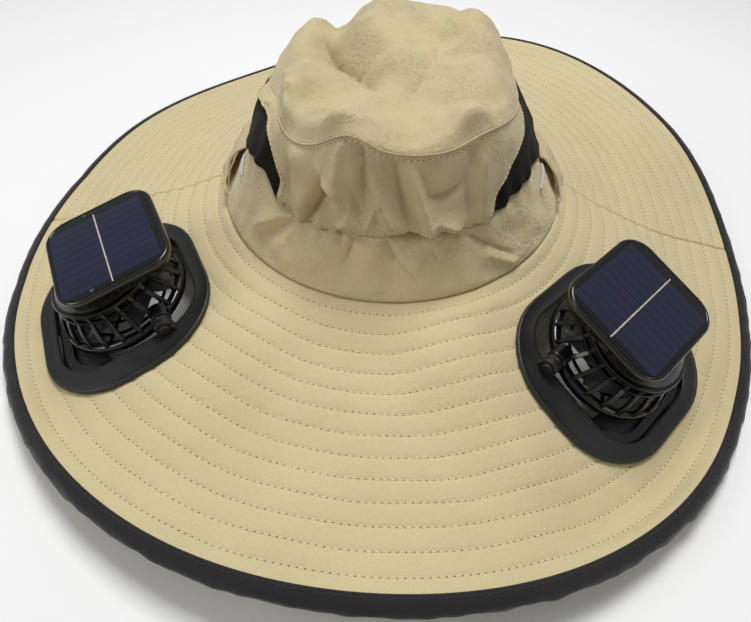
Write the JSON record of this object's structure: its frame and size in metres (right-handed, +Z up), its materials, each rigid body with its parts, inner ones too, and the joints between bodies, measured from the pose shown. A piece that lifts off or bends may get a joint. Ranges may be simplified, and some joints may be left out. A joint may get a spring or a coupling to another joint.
{
  "type": "solar fan hat",
  "caption": "Wide-brimmed khaki sun hat with a soft creased crown, mesh side vents and tilting solar-powered fans set into the front of the brim.",
  "frame": {"origin": "centre of the bounding box on the surface that the hat rests on", "axes": "+Z up, -Y to the front of the hat where the fans are, +X to the wearer's left, which is the right side of the picture"},
  "size_m": [0.4534, 0.482, 0.1426],
  "materials": {
    "brim_cloth": "plain-weave khaki cotton blend with stitched rings",
    "crown_cloth": "soft creased khaki cloth",
    "binding_cloth": "charcoal folded edge binding",
    "vent_mesh": "fine near-black mesh",
    "piping_cloth": "light grey reflective piping",
    "matte_plastic": "fine matte dark grey",
    "gloss_plastic": "gloss black",
    "blade_plastic": "satin dark grey",
    "solar_cell": "glazed dark navy solar cell with pale lines"
  },
  "bodies": {
    "hat": {"brim_front": "brim_cloth", "brim_back": "brim_cloth", "brim_binding": "binding_cloth", "crown_band": "crown_cloth", "crown_front": "crown_cloth", "crown_back": "crown_cloth", "vent_left": "vent_mesh", "vent_right": "vent_mesh", "crown_top": "crown_cloth", "side_loop_left": "crown_cloth", "side_loop_right": "crown_cloth", "loop_piping_left": "piping_cloth", "loop_piping_right": "piping_cloth", "fan_left_bezel": "matte_plastic", "fan_left_clamp": "matte_plastic", "fan_right_bezel": "matte_plastic", "fan_right_clamp": "matte_plastic"},
    "fan_left": {"fan_left_cage": "gloss_plastic", "fan_left_housing": "matte_plastic", "fan_left_panel": "gloss_plastic", "fan_left_cell": "solar_cell"},
    "fan_right": {"fan_right_cage": "gloss_plastic", "fan_right_housing": "matte_plastic", "fan_right_panel": "gloss_plastic", "fan_right_cell": "solar_cell"},
    "rotor_left": {"fan_left_rotor": "blade_plastic"},
    "rotor_right": {"fan_right_rotor": "blade_plastic"}
  },
  "joints": [
    {"name": "fan_left_tilt", "type": "hinge", "parent": "hat", "child": "fan_left", "pos_m": [-0.12683, -0.08161, 0.03988], "axis": [0.4653, -0.8838, 0.0482], "range_deg": [0, 30]},
    {"name": "fan_right_tilt", "type": "hinge", "parent": "hat", "child": "fan_right", "pos_m": [0.10467, -0.10166, 0.04359], "axis": [0.6753, 0.7365, -0.0392], "range_deg": [0, 30]},
    {"name": "rotor_left_spin", "type": "hinge", "parent": "fan_left", "child": "rotor_left", "pos_m": [-0.14185, -0.0895, 0.04007], "axis": [-0.3069, -0.11, 0.9454], "continuous": true},
    {"name": "rotor_right_spin", "type": "hinge", "parent": "fan_right", "child": "rotor_right", "pos_m": [0.11709, -0.11313, 0.0421], "axis": [0.3298, -0.2539, 0.9093], "continuous": true}
  ]
}
